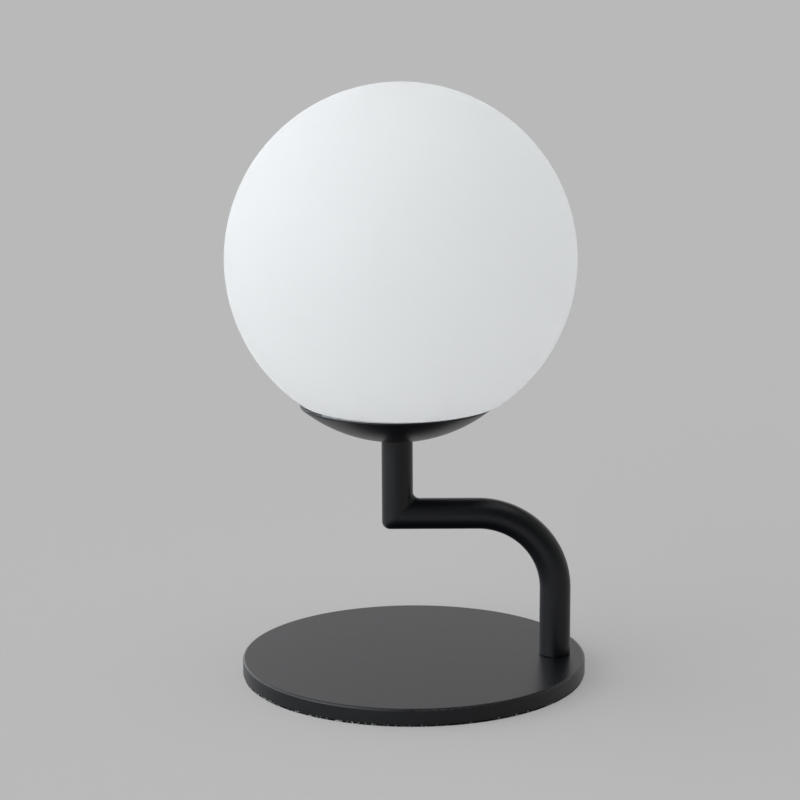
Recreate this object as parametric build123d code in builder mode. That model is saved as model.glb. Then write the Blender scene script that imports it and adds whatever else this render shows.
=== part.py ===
from build123d import *
from math import asin, cos, degrees, pi, radians, sin, sqrt, tan
import os

# Glass globe table lamp, in millimetres. The origin is the centre of the base's underside, +Z is up,
# and +X points from the lamp's upright axis towards the foot of the arm.

# ---------------------------------------------------------------------------------------------
# Driving sizes
# ---------------------------------------------------------------------------------------------

# Globe of opal glass: a ball that turns in over a shoulder to a flat underside with a short neck
globe_diameter = 200.0
glass_wall = 2.5
shoulder_radius = 12.0
shoulder_overhang = 2.3  # how far outside the dish's rim the shoulder begins
rim_clearance = 0.1  # height of the flat underside above the dish's rim
neck_inset = 19.3  # of the neck's bore from the dish's rim
neck_fillet = 3.0
globe_shift = 2.6  # towards the foot: the globe stands off-centre on its springs, as photographed

# Dish: part of a hollow ball, spun from sheet
bowl_radius = 87.0
bowl_rim_radius = 56.8
bowl_wall = 1.2
bowl_rim_round = 0.35

# Arm of steel tube
tube_diameter = 18.0
tube_wall = 1.5
bend_radius = 45.0
arm_axis_height = 84.7  # above the plate's top
arm_reach = 91.6  # from the lamp's axis to the foot's axis
upper_tube_rise = 44.25  # from the level tube's axis to the dish's underside
foot_chamfer = 0.4
plug_length = 12.0
plug_setback = 0.5  # from the dish's underside down to the upper plug

# Base: a steel plate on a felt pad
base_diameter = 200.0
plate_thickness = 9.0
plate_top_round = 1.3
plate_under_chamfer = 0.4
pad_thickness = 1.2
pad_inset = 0.6
foot_inset = 17.5  # of the foot's axis from the base's rim

# Hollow studs, M10 x 1, with their nuts and washers
stud_radius = 5.0
stud_bore_radius = 3.5
stud_clearance = 0.2
thread_gap = 0.05
nut_across_flats = 14.0
foot_nut_height = 2.0
foot_washer_radius = 9.5
foot_washer_thickness = 0.8
foot_pocket_radius = 11.0
foot_skin = 2.8  # steel left over the pocket under the foot
foot_stud_engagement = 11.0  # how far the stud reaches into the plug
top_nut_height = 2.5
top_washer_radius = 8.0
top_washer_thickness = 0.8
top_stud_engagement = 9.5
top_stud_projection = 0.8  # above its nut

# Wiring room in the plate's underside, its cover and its screws
room_length = 50.0
room_width = 24.0
room_corner = 5.0
room_offset = 1.0  # room centre from the base's centre
cover_border = 6.4
cover_corner = 4.0
cover_thickness = 1.5
cover_recess = 0.2
cover_side_gap = 0.3
cover_screw_radius = 1.25
cover_screw_head_radius = 2.35
cover_screw_head_angle = 90.0
cover_screw_thread = 4.0
cover_screw_inset = 3.2  # from the cover's long edge
cover_screw_end_inset = 7.0  # from the cover's short edge
cover_screw_socket_radius = 0.75
cover_screw_socket_depth = 0.7
screw_gap = 0.1
channel_width = 7.6

# Cord inlet: a bush in a slot of the plate's rear edge
inlet_bore_radius = 2.8
inlet_side_wall = 1.0
inlet_end_wall = 0.7
inlet_length = 11.5
inlet_rim_setback = 0.8  # of the bush's outer end from the rim
inlet_flange_width = 12.0
inlet_flange_length = 2.0
inlet_flange_gap = 0.2
inlet_corner = 0.6

# Earth terminal and its screw
earth_boss_radius = 5.5
earth_boss_x = -16.0
earth_boss_y = -6.0
earth_head_gap = 0.3  # between the screw's head and the cover
earth_screw_radius = 2.0
earth_screw_thread = 3.4
earth_head_radius = 3.5
earth_head_height = 2.0
earth_slot_length = 5.2
earth_slot_width = 1.0
earth_slot_depth = 1.0
earth_ring_radius = 4.2
earth_ring_thickness = 0.8
earth_tongue_width = 3.0
earth_barrel_radius = 1.5
earth_barrel_bore = 0.9
earth_barrel_length = 6.0
earth_barrel_drop = 0.9  # of the barrel's axis below the ring's middle
earth_barrel_reach = 7.5  # from the ring's centre to the barrel

# Inner leads and their splices
lead_radius = 0.9
lead_spacing = 1.3  # each lead's distance from the middle of the pair
splice_radius = 1.8
splice_bore_radius = 1.0
splice_bore_depth = 6.0
splice_length = 14.0
splice_start_x = 4.0
splice_spacing = 2.6
splice_floor_gap = 0.1

# Plate, springs, rivets and ring that hold the globe
clip_plate_margin = 0.6  # beyond the neck
clip_plate_gap = 0.4  # to the dish
clip_plate_thickness = 1.2
clip_count = 3
first_clip_angle = 90.0  # at the back
clip_gap = 0.2  # to the neck, at the corners of the clip's leaf
clip_thickness = 0.8
clip_width = 8.0
clip_foot_length = 12.5  # inwards from the neck's bore
clip_bend_radius = 1.6
clip_top_rise = 1.5  # above the inside of the globe's flat underside
clip_lead_in_height = 3.0
clip_lead_in_depth = 1.5
rivet_inset = 7.5  # from the neck's bore
rivet_radius = 1.5
rivet_head_radius = 2.6
rivet_head_height = 1.0
rivet_head_taper = 30.0
rivet_tail_radius = 2.3
rivet_tail_height = 0.7
seat_ring_thickness = 1.5
seat_ring_overhang = 0.5
seat_gap = 0.3
spacer_radius = 8.0

# Lampholder, G9
strap_thickness = 0.8
strap_width = 12.0
strap_height = 12.5
strap_corner = 0.6
holder_depth = 17.0  # across the strap's legs
holder_width = 21.0
holder_corner = 3.0
holder_floor_gap = 1.5  # above the stud
holder_cavity_height = 8.0
holder_cavity_depth = 10.0
holder_cavity_width = 15.0
holder_ledge = 1.0
holder_cap_thickness = 2.5
holder_screw_radius = 1.5
holder_screw_length = 3.0
holder_screw_height = 4.2  # above the holder's underside
holder_screw_head_radius = 2.6
holder_screw_head_height = 1.6
holder_slot_length = 3.9
holder_slot_width = 0.8
holder_slot_depth = 0.8
contact_thickness = 0.5
contact_width = 4.0
contact_length = 11.0
contact_side_gap = 0.15
contact_top_gap = 0.5
contact_pin_gap = 0.3
lead_hole_gap = 0.2

# Bulb: a G9 capsule with two looped pins
pin_spacing = 9.0
pin_wire_radius = 0.45
pin_loop_radius = 1.05
pin_embed = 2.5
pin_tip_gap = 0.5
pin_slot_gap = 0.4
bulb_seat_gap = 0.3
bulb_radius = 8.0
bulb_base_height = 14.0
bulb_spigot_height = 3.0
bulb_cover_height = 41.0
bulb_cover_wall = 0.9
bulb_base_chamfer = 0.8
board_width = 9.0
board_thickness = 1.2
board_height = 30.0

# ---------------------------------------------------------------------------------------------
# Heights and places that follow from the sizes above
# ---------------------------------------------------------------------------------------------


def ball_height(centre, radius, distance):
    """Height of a ball's lower surface at a distance from its upright axis."""
    return centre - sqrt(radius**2 - distance**2)


tube_radius = tube_diameter / 2
tube_inner_radius = tube_radius - tube_wall
mitre_allowance = tube_diameter  # of each tube past the mitre, before the cut
base_radius = base_diameter / 2
foot_x = base_radius - foot_inset
lamp_x = foot_x - arm_reach
globe_x = lamp_x + globe_shift
base_top = pad_thickness + plate_thickness
arm_z = base_top + arm_axis_height
stud_hole_radius = stud_radius + stud_clearance
thread_radius = stud_radius - thread_gap

# Under the plate
foot_pocket_top = base_top - foot_skin
foot_washer_bottom = foot_pocket_top - foot_washer_thickness
foot_nut_bottom = foot_washer_bottom - foot_nut_height
foot_stud_top = base_top + foot_stud_engagement
cover_bottom = pad_thickness + cover_recess
cover_top = cover_bottom + cover_thickness
cover_length = room_length + 2 * cover_border
cover_width = room_width + 2 * cover_border
cover_screw_x = cover_length - 2 * cover_screw_end_inset
cover_screw_y = cover_width - 2 * cover_screw_inset
inlet_width = 2 * (inlet_bore_radius + inlet_side_wall)
inlet_height = 2 * (inlet_bore_radius + inlet_end_wall)
inlet_z = pad_thickness + inlet_height / 2
inlet_outer_y = base_radius - inlet_rim_setback
inlet_inner_y = inlet_outer_y - inlet_length
earth_head_bottom = cover_top + earth_head_gap
earth_ring_bottom = earth_head_bottom + earth_head_height
earth_ring_top = earth_ring_bottom + earth_ring_thickness
splice_z = cover_top + splice_radius + splice_floor_gap
splice_end_x = splice_start_x + splice_length

# Dish and globe
bowl_bottom = arm_z + upper_tube_rise
bowl_centre = bowl_bottom + bowl_radius
bowl_inner_radius = bowl_radius - bowl_wall
rim_z = ball_height(bowl_centre, bowl_radius, bowl_rim_radius)
globe_radius = globe_diameter / 2
shoulder_start = bowl_rim_radius + shoulder_overhang
shoulder_angle = degrees(asin(shoulder_start / globe_radius))  # from straight down
shoulder_centre_radius = (globe_radius - shoulder_radius) * sin(radians(shoulder_angle))
flat_drop = (globe_radius - shoulder_radius) * cos(radians(shoulder_angle)) + shoulder_radius
flat_z = rim_z + rim_clearance
globe_centre = flat_z + flat_drop
neck_inner_radius = bowl_rim_radius - neck_inset
neck_outer_radius = neck_inner_radius + glass_wall
clip_foot_start = neck_inner_radius - clip_foot_length
rivet_circle_radius = neck_inner_radius - rivet_inset

# Stack on the upper stud, from the dish upwards
top_plug_top = bowl_bottom - plug_setback
top_plug_bottom = top_plug_top - plug_length
top_stud_bottom = top_plug_top - top_stud_engagement
clip_plate_radius = neck_outer_radius + globe_shift + clip_plate_margin
clip_plate_bottom = ball_height(bowl_centre, bowl_inner_radius, clip_plate_radius + clip_plate_gap)
clip_plate_top = clip_plate_bottom + clip_plate_thickness
spacer_bottom = ball_height(bowl_centre, bowl_inner_radius, spacer_radius)
seat_ring_top = clip_plate_top + seat_ring_thickness
neck_end = seat_ring_top + seat_gap
strap_top = clip_plate_top + strap_thickness
top_nut_bottom = strap_top + top_washer_thickness
top_stud_top = top_nut_bottom + top_nut_height + top_stud_projection
holder_bottom = top_stud_top + holder_floor_gap
contact_floor = holder_bottom + holder_cavity_height + holder_ledge
holder_top = contact_floor + contact_length + contact_top_gap
cap_top = holder_top + holder_cap_thickness
bulb_bottom = cap_top + bulb_seat_gap
bulb_shoulder = bulb_bottom + bulb_base_height
pin_tip = contact_floor + contact_thickness + pin_tip_gap

# Planes and axes through the two upright tubes and along the arm
lamp_axis = Axis((lamp_x, 0, 0), (0, 0, 1))
lamp_section = Plane(origin=(lamp_x, 0, 0), x_dir=(1, 0, 0), z_dir=(0, -1, 0))
globe_axis = Axis((globe_x, 0, 0), (0, 0, 1))
globe_section = Plane(origin=(globe_x, 0, 0), x_dir=(1, 0, 0), z_dir=(0, -1, 0))
mitre_plane = Plane(origin=(lamp_x, 0, arm_z), z_dir=(-1, 0, 1))


def lamp_level(height):
    """Level plane at a height, with its origin on the lamp's axis."""
    return Plane(origin=(lamp_x, 0, height))


def foot_level(height):
    """Level plane at a height, with its origin on the foot's axis."""
    return Plane(origin=(foot_x, 0, height))


def room_level(height):
    """Level plane at a height, with its origin in the middle of the wiring room."""
    return Plane(origin=(room_offset, 0, height))


def lamp_radial(angle):
    """Upright plane through the lamp's axis: x runs outwards at the angle, y runs up."""
    outwards = (cos(radians(angle)), sin(radians(angle)), 0)
    across = (sin(radians(angle)), -cos(radians(angle)), 0)
    return Plane(origin=(lamp_x, 0, 0), x_dir=outwards, z_dir=across)


os.makedirs("parts", exist_ok=True)


def save(builder, label):
    """Label a finished piece and write it to its own file."""
    builder.part.label = label
    export_step(builder.part, f"parts/{label}.step")


# ---------------------------------------------------------------------------------------------
# Base
# ---------------------------------------------------------------------------------------------

with BuildPart() as base_pad:
    with BuildSketch():
        Circle(base_radius - pad_inset)
    extrude(amount=pad_thickness)
save(base_pad, "base_pad")

with BuildPart() as base_plate:
    with BuildSketch(Plane.XY.offset(pad_thickness)):
        Circle(base_radius)
    extrude(amount=plate_thickness)
    fillet(base_plate.edges().group_by(Axis.Z)[-1], plate_top_round)
    chamfer(base_plate.edges().group_by(Axis.Z)[0], plate_under_chamfer)
    # Step for the cover, then the room below the boss that carries the earth screw
    with BuildSketch(room_level(pad_thickness)):
        RectangleRounded(cover_length + cover_side_gap, cover_width + cover_side_gap, cover_corner)
    extrude(amount=cover_top - pad_thickness, mode=Mode.SUBTRACT)
    with BuildSketch(room_level(cover_top)):
        RectangleRounded(room_length, room_width, room_corner)
    extrude(amount=earth_ring_top - cover_top, mode=Mode.SUBTRACT)
    with BuildSketch(room_level(earth_ring_top)):
        RectangleRounded(room_length, room_width, room_corner)
        with Locations((earth_boss_x - room_offset, earth_boss_y)):
            Circle(earth_boss_radius, mode=Mode.SUBTRACT)
    extrude(amount=foot_pocket_top - earth_ring_top, mode=Mode.SUBTRACT)
    # Channel to the foot, the pocket under the foot and the hole for its stud
    with BuildSketch(Plane.XY.offset(pad_thickness)):
        with Locations((foot_x / 2, 0)):
            Rectangle(foot_x, channel_width)
        with Locations((foot_x, 0)):
            Circle(foot_pocket_radius)
    extrude(amount=foot_pocket_top - pad_thickness, mode=Mode.SUBTRACT)
    with BuildSketch(foot_level(foot_pocket_top)):
        Circle(stud_hole_radius)
    extrude(amount=foot_skin, mode=Mode.SUBTRACT)
    # Slot for the cord from the room to the rear edge, wider for the bush's flange
    with BuildSketch(Plane.XY.offset(pad_thickness)):
        with Locations((0, base_radius / 2)):
            Rectangle(inlet_width, base_radius)
        with Locations((0, inlet_inner_y + inlet_flange_length / 2)):
            Rectangle(inlet_flange_width, inlet_flange_length + inlet_flange_gap)
    extrude(amount=inlet_height, mode=Mode.SUBTRACT)
    # Threaded holes for the cover's screws and the earth screw
    with BuildSketch(room_level(cover_top)):
        with GridLocations(cover_screw_x, cover_screw_y, 2, 2):
            Circle(cover_screw_radius)
    extrude(amount=cover_screw_thread, mode=Mode.SUBTRACT)
    with BuildSketch(Plane.XY.offset(earth_ring_top)):
        with Locations((earth_boss_x, earth_boss_y)):
            Circle(earth_screw_radius)
    extrude(amount=earth_screw_thread, mode=Mode.SUBTRACT)
save(base_plate, "base_plate")

with BuildPart() as wiring_cover:
    with BuildSketch(room_level(cover_bottom)):
        RectangleRounded(cover_length, cover_width, cover_corner)
    extrude(amount=cover_thickness)
    with Locations(Plane(origin=(room_offset, 0, cover_bottom), z_dir=(0, 0, -1))):
        with GridLocations(cover_screw_x, cover_screw_y, 2, 2):
            CounterSinkHole(
                cover_screw_radius + screw_gap,
                cover_screw_head_radius + screw_gap,
                counter_sink_angle=cover_screw_head_angle,
            )
save(wiring_cover, "wiring_cover")

with BuildPart() as wiring_cover_screws:
    head_flare = cover_screw_head_radius - cover_screw_radius
    head_height = head_flare / tan(radians(cover_screw_head_angle / 2))
    with BuildSketch(room_level(cover_bottom)):
        with GridLocations(cover_screw_x, cover_screw_y, 2, 2):
            Circle(cover_screw_head_radius)
    extrude(amount=head_height, taper=cover_screw_head_angle / 2)
    with BuildSketch(room_level(cover_bottom)):
        with GridLocations(cover_screw_x, cover_screw_y, 2, 2):
            Circle(cover_screw_radius)
    extrude(amount=cover_thickness + cover_screw_thread)
    with BuildSketch(room_level(cover_bottom)):
        with GridLocations(cover_screw_x, cover_screw_y, 2, 2):
            RegularPolygon(cover_screw_socket_radius, 6)
    extrude(amount=cover_screw_socket_depth, mode=Mode.SUBTRACT)
save(wiring_cover_screws, "wiring_cover_screws")

with BuildPart() as cord_inlet_grommet:
    with BuildSketch(Plane.XZ.offset(-inlet_inner_y)):
        with Locations((0, inlet_z)):
            RectangleRounded(inlet_width, inlet_height, inlet_corner)
    extrude(amount=-inlet_length)
    with BuildSketch(Plane.XZ.offset(-inlet_inner_y)):
        with Locations((0, inlet_z)):
            RectangleRounded(inlet_flange_width, inlet_height, inlet_corner)
    extrude(amount=-inlet_flange_length)
    with BuildSketch(Plane.XZ.offset(-inlet_inner_y)):
        with Locations((0, inlet_z)):
            Circle(inlet_bore_radius)
    extrude(amount=-inlet_length, mode=Mode.SUBTRACT)
save(cord_inlet_grommet, "cord_inlet_grommet")

with BuildPart() as earth_terminal:
    barrel_end = earth_boss_x + earth_barrel_reach
    barrel_z = (earth_ring_bottom + earth_ring_top) / 2 - earth_barrel_drop
    with BuildSketch(Plane.XY.offset(earth_ring_bottom)):
        with Locations((earth_boss_x, earth_boss_y)):
            Circle(earth_ring_radius)
        with Locations((earth_boss_x + earth_barrel_reach / 2, earth_boss_y)):
            Rectangle(earth_barrel_reach + earth_ring_thickness, earth_tongue_width)
        with Locations((earth_boss_x, earth_boss_y)):
            Circle(earth_screw_radius + screw_gap, mode=Mode.SUBTRACT)
    extrude(amount=earth_ring_thickness)
    with BuildSketch(Plane(origin=(barrel_end, earth_boss_y, barrel_z), z_dir=(1, 0, 0))):
        Circle(earth_barrel_radius)
    extrude(amount=earth_barrel_length)
    with BuildSketch(Plane(origin=(barrel_end, earth_boss_y, barrel_z), z_dir=(1, 0, 0))):
        Circle(earth_barrel_bore)
    extrude(amount=earth_barrel_length, mode=Mode.SUBTRACT)
save(earth_terminal, "earth_terminal")

with BuildPart() as earth_screw:
    with BuildSketch(Plane.XY.offset(earth_head_bottom)):
        with Locations((earth_boss_x, earth_boss_y)):
            Circle(earth_head_radius)
    extrude(amount=earth_head_height)
    with BuildSketch(Plane.XY.offset(earth_ring_bottom)):
        with Locations((earth_boss_x, earth_boss_y)):
            Circle(earth_screw_radius)
    extrude(amount=earth_ring_thickness + earth_screw_thread)
    with BuildSketch(Plane.XY.offset(earth_head_bottom)):
        with Locations((earth_boss_x, earth_boss_y)):
            SlotOverall(earth_slot_length, earth_slot_width)
    extrude(amount=earth_slot_depth, mode=Mode.SUBTRACT)
save(earth_screw, "earth_screw")

with BuildPart() as splice_sleeves:
    for side in (1, -1):
        with BuildSketch(Plane(origin=(splice_start_x, side * splice_spacing, splice_z), z_dir=(1, 0, 0))):
            Circle(splice_radius)
        extrude(amount=splice_length)
    for side in (1, -1):
        with BuildSketch(Plane(origin=(splice_start_x, side * splice_spacing, splice_z), z_dir=(1, 0, 0))):
            Circle(splice_bore_radius)
        extrude(amount=splice_bore_depth, mode=Mode.SUBTRACT)
save(splice_sleeves, "splice_sleeves")

# ---------------------------------------------------------------------------------------------
# Arm and its fixings
# ---------------------------------------------------------------------------------------------

with BuildPart() as foot_washer:
    with BuildSketch(foot_level(foot_washer_bottom)):
        Circle(foot_washer_radius)
        Circle(stud_hole_radius, mode=Mode.SUBTRACT)
    extrude(amount=foot_washer_thickness)
save(foot_washer, "foot_washer")

with BuildPart() as foot_nut:
    with BuildSketch(foot_level(foot_nut_bottom)):
        RegularPolygon(nut_across_flats / 2, 6, major_radius=False)
        Circle(stud_radius, mode=Mode.SUBTRACT)
    extrude(amount=foot_nut_height)
save(foot_nut, "foot_nut")

with BuildPart() as foot_stud:
    with BuildSketch(foot_level(foot_nut_bottom)):
        Circle(thread_radius)
        Circle(stud_bore_radius, mode=Mode.SUBTRACT)
    extrude(amount=foot_stud_top - foot_nut_bottom)
save(foot_stud, "foot_stud")

with BuildPart() as foot_plug:
    with BuildSketch(foot_level(base_top)):
        Circle(tube_inner_radius)
        Circle(stud_radius, mode=Mode.SUBTRACT)
    extrude(amount=plug_length)
save(foot_plug, "foot_plug")

with BuildPart() as bent_arm_tube:
    with BuildLine():
        FilletPolyline(
            (foot_x, 0, base_top),
            (foot_x, 0, arm_z),
            (lamp_x - mitre_allowance, 0, arm_z),
            radius=bend_radius,
        )
    with BuildSketch(foot_level(base_top)):
        Circle(tube_radius)
        Circle(tube_inner_radius, mode=Mode.SUBTRACT)
    sweep()
    split(bisect_by=mitre_plane, keep=Keep.BOTTOM)
    foot_circles = bent_arm_tube.edges().group_by(Axis.Z)[0]
    chamfer(foot_circles.sort_by(SortBy.RADIUS)[-1], foot_chamfer)
save(bent_arm_tube, "bent_arm_tube")

with BuildPart() as upper_tube:
    with BuildSketch(lamp_level(arm_z - mitre_allowance)):
        Circle(tube_radius)
        Circle(tube_inner_radius, mode=Mode.SUBTRACT)
    extrude(amount=mitre_allowance + upper_tube_rise + tube_radius)
    split(bisect_by=mitre_plane, keep=Keep.TOP)
    with Locations((lamp_x, 0, bowl_centre)):
        Sphere(bowl_radius, mode=Mode.SUBTRACT)
save(upper_tube, "upper_tube")

with BuildPart() as top_plug:
    with BuildSketch(lamp_level(top_plug_bottom)):
        Circle(tube_inner_radius)
        Circle(stud_radius, mode=Mode.SUBTRACT)
    extrude(amount=plug_length)
save(top_plug, "top_plug")

with BuildPart() as top_stud:
    with BuildSketch(lamp_level(top_stud_bottom)):
        Circle(thread_radius)
        Circle(stud_bore_radius, mode=Mode.SUBTRACT)
    extrude(amount=top_stud_top - top_stud_bottom)
save(top_stud, "top_stud")

# ---------------------------------------------------------------------------------------------
# Dish and what it holds
# ---------------------------------------------------------------------------------------------

with BuildPart() as bowl:
    rim_angle = degrees(asin(bowl_rim_radius / bowl_radius))
    inner_rim_radius = sqrt(bowl_inner_radius**2 - (bowl_centre - rim_z) ** 2)
    inner_rim_angle = degrees(asin(inner_rim_radius / bowl_inner_radius))
    with BuildSketch(lamp_section):
        with BuildLine():
            CenterArc((0, bowl_centre), bowl_radius, -90, rim_angle)
            CenterArc((0, bowl_centre), bowl_inner_radius, -90, inner_rim_angle)
            Line((0, bowl_centre - bowl_radius), (0, bowl_centre - bowl_inner_radius))
            Line((inner_rim_radius, rim_z), (bowl_rim_radius, rim_z))
        make_face()
    revolve(axis=lamp_axis)
    fillet(bowl.edges().group_by(Axis.Z)[-1], bowl_rim_round)
    with BuildSketch(lamp_level(bowl_bottom - bowl_wall)):
        Circle(stud_hole_radius)
    extrude(amount=3 * bowl_wall, mode=Mode.SUBTRACT)
save(bowl, "bowl")

with BuildPart() as spacer_sleeve:
    with BuildSketch(lamp_level(spacer_bottom)):
        Circle(spacer_radius)
        Circle(stud_hole_radius, mode=Mode.SUBTRACT)
    extrude(amount=clip_plate_bottom - spacer_bottom)
save(spacer_sleeve, "spacer_sleeve")

with BuildPart() as clip_plate:
    with BuildSketch(lamp_level(clip_plate_bottom)):
        Circle(clip_plate_radius)
        Circle(stud_hole_radius, mode=Mode.SUBTRACT)
        with PolarLocations(rivet_circle_radius, clip_count, start_angle=first_clip_angle):
            Circle(rivet_radius, mode=Mode.SUBTRACT)
    extrude(amount=clip_plate_thickness)
save(clip_plate, "clip_plate")

with BuildPart() as seat_ring:
    with BuildSketch(Plane(origin=(globe_x, 0, clip_plate_top))):
        Circle(neck_outer_radius + seat_ring_overhang)
        Circle(neck_inner_radius, mode=Mode.SUBTRACT)
    extrude(amount=seat_ring_thickness)
save(seat_ring, "seat_ring")


def clip_leaf_distance(angle):
    """Distance of a clip's leaf from the lamp's axis, where its outer corners just clear the neck."""
    along_shift = globe_shift * cos(radians(angle))
    across_shift = globe_shift * abs(sin(radians(angle)))
    corner_reach = sqrt((neck_inner_radius - clip_gap) ** 2 - (clip_width / 2 + across_shift) ** 2)
    return along_shift + corner_reach - clip_thickness / 2


clip_foot_z = clip_plate_top + clip_thickness / 2
clip_top = flat_z + glass_wall + clip_top_rise

for number in range(1, clip_count + 1):
    clip_angle = first_clip_angle + (number - 1) * 360 / clip_count
    clip_leaf_radius = clip_leaf_distance(clip_angle)
    radial = lamp_radial(clip_angle)
    with BuildPart() as spring_clip:
        with BuildLine(radial) as strip:
            FilletPolyline(
                (clip_foot_start, clip_foot_z),
                (clip_leaf_radius, clip_foot_z),
                (clip_leaf_radius, clip_top - clip_lead_in_height),
                (clip_leaf_radius - clip_lead_in_depth, clip_top),
                radius=clip_bend_radius,
            )
        start = Plane(origin=strip.line @ 0, x_dir=radial.z_dir, z_dir=strip.line % 0)
        with BuildSketch(start):
            Rectangle(clip_width, clip_thickness)
        sweep()
        rivet_place = radial.from_local_coords((rivet_circle_radius, clip_plate_top, 0))
        with BuildSketch(Plane(origin=rivet_place)):
            Circle(rivet_radius)
        extrude(amount=clip_thickness, mode=Mode.SUBTRACT)
    save(spring_clip, f"spring_clip_{number}")

with BuildPart() as clip_rivets:
    with BuildSketch(lamp_level(clip_plate_bottom - rivet_tail_height)):
        with PolarLocations(rivet_circle_radius, clip_count, start_angle=first_clip_angle):
            Circle(rivet_tail_radius)
    extrude(amount=rivet_tail_height)
    with BuildSketch(lamp_level(clip_plate_bottom)):
        with PolarLocations(rivet_circle_radius, clip_count, start_angle=first_clip_angle):
            Circle(rivet_radius)
    extrude(amount=clip_plate_thickness + clip_thickness)
    with BuildSketch(lamp_level(clip_plate_top + clip_thickness)):
        with PolarLocations(rivet_circle_radius, clip_count, start_angle=first_clip_angle):
            Circle(rivet_head_radius)
    extrude(amount=rivet_head_height, taper=rivet_head_taper)
save(clip_rivets, "clip_rivets")

with BuildPart() as lock_washer:
    with BuildSketch(lamp_level(strap_top)):
        Circle(top_washer_radius)
        Circle(stud_hole_radius, mode=Mode.SUBTRACT)
    extrude(amount=top_washer_thickness)
save(lock_washer, "lock_washer")

with BuildPart() as top_nut:
    with BuildSketch(lamp_level(top_nut_bottom)):
        RegularPolygon(nut_across_flats / 2, 6, major_radius=False)
        Circle(stud_radius, mode=Mode.SUBTRACT)
    extrude(amount=top_nut_height)
save(top_nut, "top_nut")

# ---------------------------------------------------------------------------------------------
# Lampholder
# ---------------------------------------------------------------------------------------------

holder_screw_z = holder_bottom + holder_screw_height

with BuildPart() as holder_bracket:
    strap_outer = holder_depth + 2 * strap_thickness
    with BuildSketch(lamp_section):
        with Locations((0, clip_plate_top)):
            Rectangle(strap_outer, strap_height, align=(Align.CENTER, Align.MIN))
        with Locations((0, strap_top)):
            Rectangle(holder_depth, strap_height, align=(Align.CENTER, Align.MIN), mode=Mode.SUBTRACT)
    extrude(amount=strap_width / 2, both=True)
    fillet(holder_bracket.edges().filter_by(Axis.Y).group_by(Axis.Z)[0], strap_corner)
    with BuildSketch(lamp_level(clip_plate_top)):
        Circle(stud_hole_radius)
    extrude(amount=strap_thickness, mode=Mode.SUBTRACT)
    with BuildSketch(Plane(origin=(lamp_x, 0, holder_screw_z), z_dir=(1, 0, 0))):
        Circle(holder_screw_radius + screw_gap)
    extrude(amount=strap_outer / 2, both=True, mode=Mode.SUBTRACT)
save(holder_bracket, "holder_bracket")

with BuildPart() as holder_screws:
    for side in (1, -1):
        seat = Plane(origin=(lamp_x + side * strap_outer / 2, 0, holder_screw_z), z_dir=(side, 0, 0))
        with BuildSketch(seat):
            Circle(holder_screw_head_radius)
        extrude(amount=holder_screw_head_height)
        with BuildSketch(seat):
            Circle(holder_screw_radius)
        extrude(amount=-holder_screw_length)
        with BuildSketch(seat.offset(holder_screw_head_height)):
            SlotOverall(holder_slot_length, holder_slot_width)
        extrude(amount=-holder_slot_depth, mode=Mode.SUBTRACT)
save(holder_screws, "holder_screws")

with BuildPart() as holder_body:
    chamber_depth = contact_width + 2 * contact_side_gap
    contact_thickness_overall = 2 * (pin_wire_radius + contact_pin_gap + contact_thickness)
    chamber_width = contact_thickness_overall + 2 * contact_side_gap
    with BuildSketch(lamp_level(holder_bottom)):
        RectangleRounded(holder_depth, holder_width, holder_corner)
    extrude(amount=holder_top - holder_bottom)
    with BuildSketch(lamp_level(holder_bottom)):
        Rectangle(holder_cavity_depth, holder_cavity_width)
    extrude(amount=holder_cavity_height, mode=Mode.SUBTRACT)
    with BuildSketch(lamp_level(contact_floor)):
        with GridLocations(1, pin_spacing, 1, 2):
            Rectangle(chamber_depth, chamber_width)
    extrude(amount=holder_top - contact_floor, mode=Mode.SUBTRACT)
    with BuildSketch(lamp_level(holder_bottom)):
        with GridLocations(1, pin_spacing, 1, 2):
            Circle(lead_radius + lead_hole_gap)
    extrude(amount=contact_floor - holder_bottom, mode=Mode.SUBTRACT)
    with BuildSketch(Plane(origin=(lamp_x, 0, holder_screw_z), z_dir=(1, 0, 0))):
        Circle(holder_screw_radius)
    extrude(amount=holder_depth / 2, both=True, mode=Mode.SUBTRACT)
save(holder_body, "holder_body")

with BuildPart() as holder_cap:
    with BuildSketch(lamp_level(holder_top)):
        RectangleRounded(holder_depth, holder_width, holder_corner)
        with GridLocations(1, pin_spacing, 1, 2):
            Rectangle(
                2 * (pin_loop_radius + pin_wire_radius + pin_slot_gap),
                2 * (pin_wire_radius + pin_slot_gap),
                mode=Mode.SUBTRACT,
            )
    extrude(amount=holder_cap_thickness)
save(holder_cap, "holder_cap")

with BuildPart() as holder_contacts:
    with BuildSketch(lamp_level(contact_floor)):
        with GridLocations(1, pin_spacing, 1, 2):
            Rectangle(contact_width, contact_thickness_overall)
    extrude(amount=contact_length)
    with BuildSketch(lamp_level(contact_floor + contact_thickness)):
        with GridLocations(1, pin_spacing, 1, 2):
            Rectangle(contact_width, contact_thickness_overall - 2 * contact_thickness)
    extrude(amount=contact_length, mode=Mode.SUBTRACT)
save(holder_contacts, "holder_contacts")

# ---------------------------------------------------------------------------------------------
# Inner leads, from the splices through the arm to the lampholder's contacts
# ---------------------------------------------------------------------------------------------


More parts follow.
